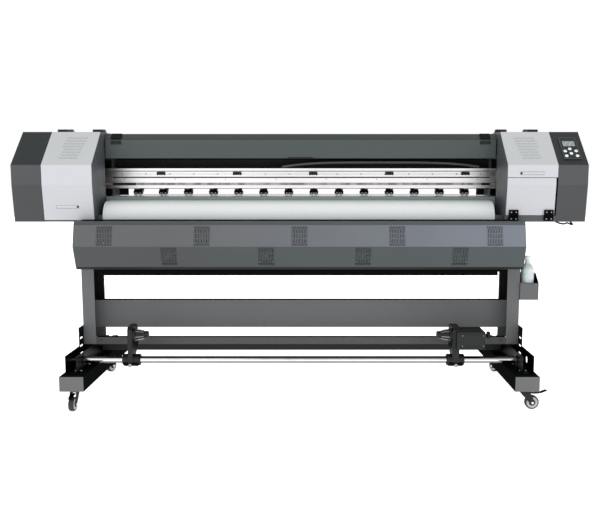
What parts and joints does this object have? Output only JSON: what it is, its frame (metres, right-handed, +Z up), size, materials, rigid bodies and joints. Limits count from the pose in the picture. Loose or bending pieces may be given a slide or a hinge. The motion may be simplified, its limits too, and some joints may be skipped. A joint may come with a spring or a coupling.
{
  "type": "wide-format roll printer",
  "caption": "Wide-format roll-fed inkjet printer with a rail-mounted carriage, hinged lids, a front dryer and a motorised take-up, on a wheeled steel stand.",
  "frame": {"origin": "on the floor, under the middle of the machine", "axes": "+X along the machine to the operator's right, +Y to the back, +Z up"},
  "size_m": [2.65, 0.793, 1.293],
  "materials": {
    "charcoal_cover": "satin charcoal powder coat",
    "light_panel": "satin light grey paint",
    "end_cap": "moulded charcoal plastic",
    "stand_frame": "satin mid-grey powder coat",
    "black_metal": "black powder coat",
    "dryer_case": "satin grey powder coat",
    "white_sheet": "smooth white paint",
    "platen_metal": "grey-green painted plate",
    "bright_aluminium": "brushed aluminium",
    "chromed_steel": "chrome",
    "black_plastic": "black plastic",
    "white_plastic": "white plastic",
    "bottle_plastic": "translucent white polythene",
    "tyre": "dark rubber tread"
  },
  "bodies": {
    "machine": {"left_foot": "stand_frame", "right_foot": "stand_frame", "left_arm_channel": "black_metal", "right_arm_channel": "black_metal", "left_column": "stand_frame", "right_column": "stand_frame", "main_crossbar": "stand_frame", "front_lower_bar": "stand_frame", "rear_lower_bar": "black_metal", "base_deck": "charcoal_cover", "left_side_plate": "charcoal_cover", "right_side_plate": "charcoal_cover", "left_end_cap": "end_cap", "right_end_cap": "end_cap", "left_housing_shell": "charcoal_cover", "right_housing_shell": "charcoal_cover", "top_cover": "charcoal_cover", "platen": "platen_metal", "rear_guide": "white_sheet", "front_apron": "white_sheet", "apron_bar": "black_metal", "dryer_housing": "dryer_case", "beam": "bright_aluminium", "linear_rail": "chromed_steel", "capping_station": "black_plastic", "takeup_rod": "chromed_steel", "waste_tray": "stand_frame", "control_panel": "black_plastic"},
    "takeup_left_bracket": {"takeup_left_bracket": "black_metal"},
    "takeup_motor_unit": {"takeup_motor_unit": "black_metal"},
    "pinch_bar": {"pinch_bar": "black_metal"},
    "front_cover": {"front_cover": "charcoal_cover"},
    "left_lid": {"left_lid": "light_panel"},
    "right_lid": {"right_lid": "light_panel"},
    "right_door": {"right_door": "light_panel"},
    "feed_roller": {"feed_roller": "bright_aluminium"},
    "drive_pulley": {"drive_pulley": "bright_aluminium"},
    "idler_pulley": {"idler_pulley": "bright_aluminium"},
    "supply_rod": {"supply_rod": "chromed_steel"},
    "left_front_fork": {"left_front_fork": "chromed_steel"},
    "left_rear_fork": {"left_rear_fork": "chromed_steel"},
    "right_front_fork": {"right_front_fork": "chromed_steel"},
    "right_rear_fork": {"right_rear_fork": "chromed_steel"},
    "carriage": {"carriage": "black_plastic"},
    "takeup_left_mandrel": {"takeup_left_mandrel": "black_plastic"},
    "takeup_right_mandrel": {"takeup_right_mandrel": "black_plastic"},
    "takeup_knob": {"takeup_knob": "black_plastic"},
    "pinch_rollers": {"pinch_rollers": "white_plastic"},
    "up_button": {"up_button": "white_plastic"},
    "left_button": {"left_button": "white_plastic"},
    "right_button": {"right_button": "white_plastic"},
    "enter_button": {"enter_button": "white_plastic"},
    "menu_button": {"menu_button": "white_plastic"},
    "pause_button": {"pause_button": "white_plastic"},
    "waste_bottle": {"waste_bottle": "bottle_plastic"},
    "left_front_wheel": {"left_front_wheel": "tyre"},
    "left_rear_wheel": {"left_rear_wheel": "tyre"},
    "right_front_wheel": {"right_front_wheel": "tyre"},
    "right_rear_wheel": {"right_rear_wheel": "tyre"}
  },
  "joints": [
    {"name": "left_lid_hinge", "type": "hinge", "parent": "machine", "child": "left_lid", "pos_m": [0, 0.0175, 1.285], "axis": [-1, 0, 0], "range_deg": [0, 75]},
    {"name": "right_lid_hinge", "type": "hinge", "parent": "machine", "child": "right_lid", "pos_m": [0, 0.0175, 1.285], "axis": [-1, 0, 0], "range_deg": [0, 75]},
    {"name": "front_cover_hinge", "type": "hinge", "parent": "machine", "child": "front_cover", "pos_m": [0, -0.0335, 1.2415], "axis": [-1, 0, 0], "range_deg": [0, 100]},
    {"name": "right_door_hinge", "type": "hinge", "parent": "machine", "child": "right_door", "pos_m": [0, -0.222, 0.886], "axis": [1, 0, 0], "range_deg": [0, 90]},
    {"name": "carriage_travel", "type": "slide", "parent": "machine", "child": "carriage", "axis": [1, 0, 0], "range_m": [-2.13, 0]},
    {"name": "drive_pulley_spin", "type": "hinge", "parent": "machine", "child": "drive_pulley", "pos_m": [1.17, 0.074, 1.018], "axis": [0, 0, 1], "continuous": true},
    {"name": "idler_pulley_spin", "type": "hinge", "parent": "machine", "child": "idler_pulley", "pos_m": [-1.17, 0.074, 1.018], "axis": [0, 0, 1], "continuous": true},
    {"name": "feed_spin", "type": "hinge", "parent": "machine", "child": "feed_roller", "pos_m": [0, 0.095, 0.946], "axis": [1, 0, 0], "continuous": true},
    {"name": "pinch_lift", "type": "hinge", "parent": "machine", "child": "pinch_bar", "pos_m": [0, 0.185, 1.012], "axis": [-1, 0, 0], "range_deg": [0, 5]},
    {"name": "pinch_spin", "type": "hinge", "parent": "pinch_bar", "child": "pinch_rollers", "pos_m": [0, 0.095, 0.9733], "axis": [1, 0, 0], "continuous": true},
    {"name": "up_button_press", "type": "slide", "parent": "machine", "child": "up_button", "axis": [0, 0.696, -0.718], "range_m": [0, 0.001], "stiffness_N_per_m": 600},
    {"name": "left_button_press", "type": "slide", "parent": "machine", "child": "left_button", "axis": [0, 0.696, -0.718], "range_m": [0, 0.001], "stiffness_N_per_m": 600},
    {"name": "right_button_press", "type": "slide", "parent": "machine", "child": "right_button", "axis": [0, 0.696, -0.718], "range_m": [0, 0.001], "stiffness_N_per_m": 600},
    {"name": "enter_button_press", "type": "slide", "parent": "machine", "child": "enter_button", "axis": [0, 0.696, -0.718], "range_m": [0, 0.001], "stiffness_N_per_m": 600},
    {"name": "menu_button_press", "type": "slide", "parent": "machine", "child": "menu_button", "axis": [0, 0.696, -0.718], "range_m": [0, 0.001], "stiffness_N_per_m": 600},
    {"name": "pause_button_press", "type": "slide", "parent": "machine", "child": "pause_button", "axis": [0, 0.696, -0.718], "range_m": [0, 0.001], "stiffness_N_per_m": 600},
    {"name": "left_front_swivel", "type": "hinge", "parent": "machine", "child": "left_front_fork", "pos_m": [-1.038, -0.3325, 0.09], "axis": [0, 0, 1], "continuous": true},
    {"name": "left_front_roll", "type": "hinge", "parent": "left_front_fork", "child": "left_front_wheel", "pos_m": [-1.038, -0.3645, 0.032], "axis": [1, 0, 0], "continuous": true},
    {"name": "right_front_swivel", "type": "hinge", "parent": "machine", "child": "right_front_fork", "pos_m": [1.038, -0.3325, 0.09], "axis": [0, 0, 1], "continuous": true},
    {"name": "right_front_roll", "type": "hinge", "parent": "right_front_fork", "child": "right_front_wheel", "pos_m": [1.07, -0.3325, 0.032], "axis": [0, 1, 0], "continuous": true},
    {"name": "left_rear_swivel", "type": "hinge", "parent": "machine", "child": "left_rear_fork", "pos_m": [-1.038, 0.3325, 0.09], "axis": [0, 0, 1], "continuous": true},
    {"name": "left_rear_roll", "type": "hinge", "parent": "left_rear_fork", "child": "left_rear_wheel", "pos_m": [-1.05152, 0.3035, 0.032], "axis": [0.9063, -0.4226, 0], "continuous": true},
    {"name": "right_rear_swivel", "type": "hinge", "parent": "machine", "child": "right_rear_fork", "pos_m": [1.038, 0.3325, 0.09], "axis": [0, 0, 1], "continuous": true},
    {"name": "right_rear_roll", "type": "hinge", "parent": "right_rear_fork", "child": "right_rear_wheel", "pos_m": [1.05152, 0.3035, 0.032], "axis": [0.9063, 0.4226, 0], "continuous": true},
    {"name": "takeup_left_slide", "type": "slide", "parent": "machine", "child": "takeup_left_bracket", "axis": [1, 0, 0], "range_m": [-0.15, 0.45]},
    {"name": "takeup_right_slide", "type": "slide", "parent": "machine", "child": "takeup_motor_unit", "axis": [1, 0, 0], "range_m": [-0.45, 0.1]},
    {"name": "takeup_left_spin", "type": "hinge", "parent": "takeup_left_bracket", "child": "takeup_left_mandrel", "pos_m": [-0.7837, -0.2325, 0.326], "axis": [1, 0, 0], "continuous": true},
    {"name": "takeup_right_spin", "type": "hinge", "parent": "takeup_motor_unit", "child": "takeup_right_mandrel", "pos_m": [0.7127, -0.2325, 0.326], "axis": [1, 0, 0], "continuous": true},
    {"name": "takeup_knob_turn", "type": "hinge", "parent": "takeup_motor_unit", "child": "takeup_knob", "pos_m": [0.8623, -0.2325, 0.323], "axis": [1, 0, 0], "continuous": true},
    {"name": "supply_spin", "type": "hinge", "parent": "machine", "child": "supply_rod", "pos_m": [0, 0.2325, 0.188], "axis": [1, 0, 0], "continuous": true},
    {"name": "waste_bottle_lift", "type": "slide", "parent": "machine", "child": "waste_bottle", "axis": [0, 0, 1], "range_m": [0, 0.2]}
  ],
  "couplings": [
    {"joint": "idler_pulley_spin", "follows": "drive_pulley_spin", "ratio": 1},
    {"joint": "pinch_spin", "follows": "feed_spin", "ratio": -2.8571}
  ]
}
